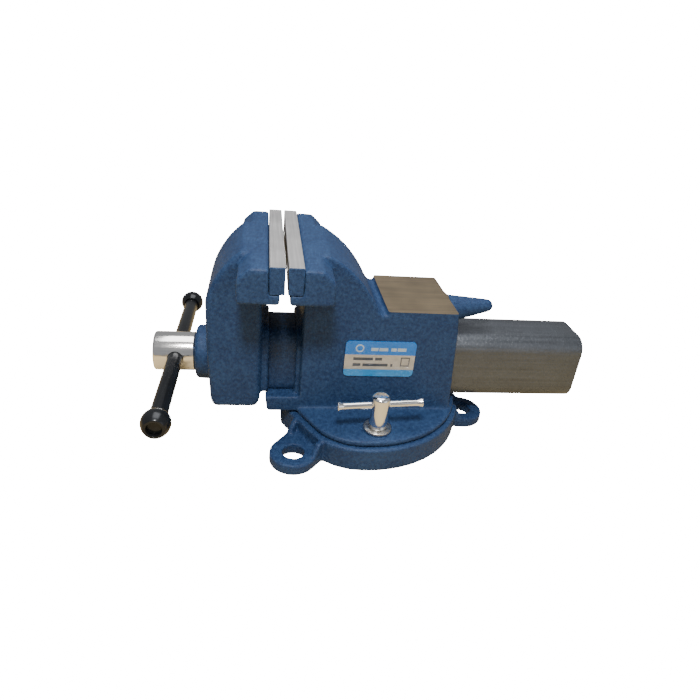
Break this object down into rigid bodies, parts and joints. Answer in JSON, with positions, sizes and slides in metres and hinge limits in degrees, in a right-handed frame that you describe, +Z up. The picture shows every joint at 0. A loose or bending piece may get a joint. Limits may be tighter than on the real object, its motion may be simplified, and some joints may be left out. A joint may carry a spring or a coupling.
{
  "type": "bench vise",
  "caption": "Cast bench vise with a square-tube slide, swivel base with bolt-down lugs, anvil pad with horn, and a screw turned by a sliding bar handle.",
  "frame": {"origin": "on the swivel axis, at the bench plane the base stands on", "axes": "+X along the screw from the handle towards the bare end of the slide tube, +Y along the jaws, +Z up"},
  "size_m": [0.3804, 0.2434, 0.1672],
  "materials": {
    "blue_paint": "textured navy blue enamel over cast iron",
    "rolled_steel": "bare drawn steel",
    "ground_steel": "ground steel",
    "black_steel": "blackened steel",
    "bright_chrome": "bright plated steel",
    "dark_steel": "plain steel",
    "zinc_plate": "zinc plated steel",
    "bronze": "machined bronze",
    "printed_label": "printed plastic film"
  },
  "bodies": {
    "base": {"swivel_base": "blue_paint"},
    "vise_body": {"fixed_body": "blue_paint", "fixed_jaw_plate": "ground_steel", "fixed_plate_screw_near": "black_steel", "fixed_plate_screw_far": "black_steel", "spindle_nut": "bronze", "nut_bolt_front": "dark_steel", "nut_bolt_rear": "dark_steel", "side_label": "printed_label", "lock_washer_near": "zinc_plate", "lock_washer_far": "zinc_plate", "tee_nut_near": "dark_steel", "tee_nut_far": "dark_steel"},
    "sliding_jaw": {"movable_jaw": "blue_paint", "slide_tube": "rolled_steel", "movable_jaw_plate": "ground_steel", "movable_plate_screw_near": "black_steel", "movable_plate_screw_far": "black_steel", "thrust_washer": "zinc_plate", "return_spring": "dark_steel"},
    "screw": {"lead_screw": "bright_chrome", "retaining_collar": "dark_steel", "collar_pin": "dark_steel"},
    "handle": {"handle_bar": "black_steel", "handle_knob_near": "black_steel", "handle_knob_far": "black_steel"},
    "near_lock_screw": {"lock_screw_near": "bright_chrome"},
    "near_lock_bar": {"lock_bar_near": "bright_chrome"},
    "far_lock_screw": {"lock_screw_far": "bright_chrome"},
    "far_lock_bar": {"lock_bar_far": "bright_chrome"}
  },
  "joints": [
    {"name": "base_swivel", "type": "hinge", "parent": "base", "child": "vise_body", "pos_m": [0, 0, 0.0215], "axis": [0, 0, 1], "range_deg": [-28, 28]},
    {"name": "jaw_slide", "type": "slide", "parent": "vise_body", "child": "sliding_jaw", "axis": [1, 0, 0], "range_m": [-0.147, 0.0019]},
    {"name": "screw_turn", "type": "hinge", "parent": "sliding_jaw", "child": "screw", "pos_m": [-0.163, 0, 0.058], "axis": [1, 0, 0], "range_deg": [-8820, 114]},
    {"name": "handle_slide", "type": "slide", "parent": "screw", "child": "handle", "axis": [0, 0.9994, -0.0349], "range_m": [-0.087, 0.087]},
    {"name": "near_lock_turn", "type": "hinge", "parent": "vise_body", "child": "near_lock_screw", "pos_m": [0.0066, -0.07129, 0.0513], "axis": [0, 0, 1], "range_deg": [-28, 18]},
    {"name": "near_lock_bar_slide", "type": "slide", "parent": "near_lock_screw", "child": "near_lock_bar", "axis": [0.9952, 0.0976, 0], "range_m": [-0.0235, 0.0235]},
    {"name": "far_lock_turn", "type": "hinge", "parent": "vise_body", "child": "far_lock_screw", "pos_m": [0.0066, 0.07129, 0.0513], "axis": [0, 0, 1], "range_deg": [-18, 28]},
    {"name": "far_lock_bar_slide", "type": "slide", "parent": "far_lock_screw", "child": "far_lock_bar", "axis": [0.9952, -0.0976, 0], "range_m": [-0.0235, 0.0235]}
  ],
  "couplings": [
    {"joint": "jaw_slide", "follows": "screw_turn", "m_per_rad": 0.00095493}
  ]
}
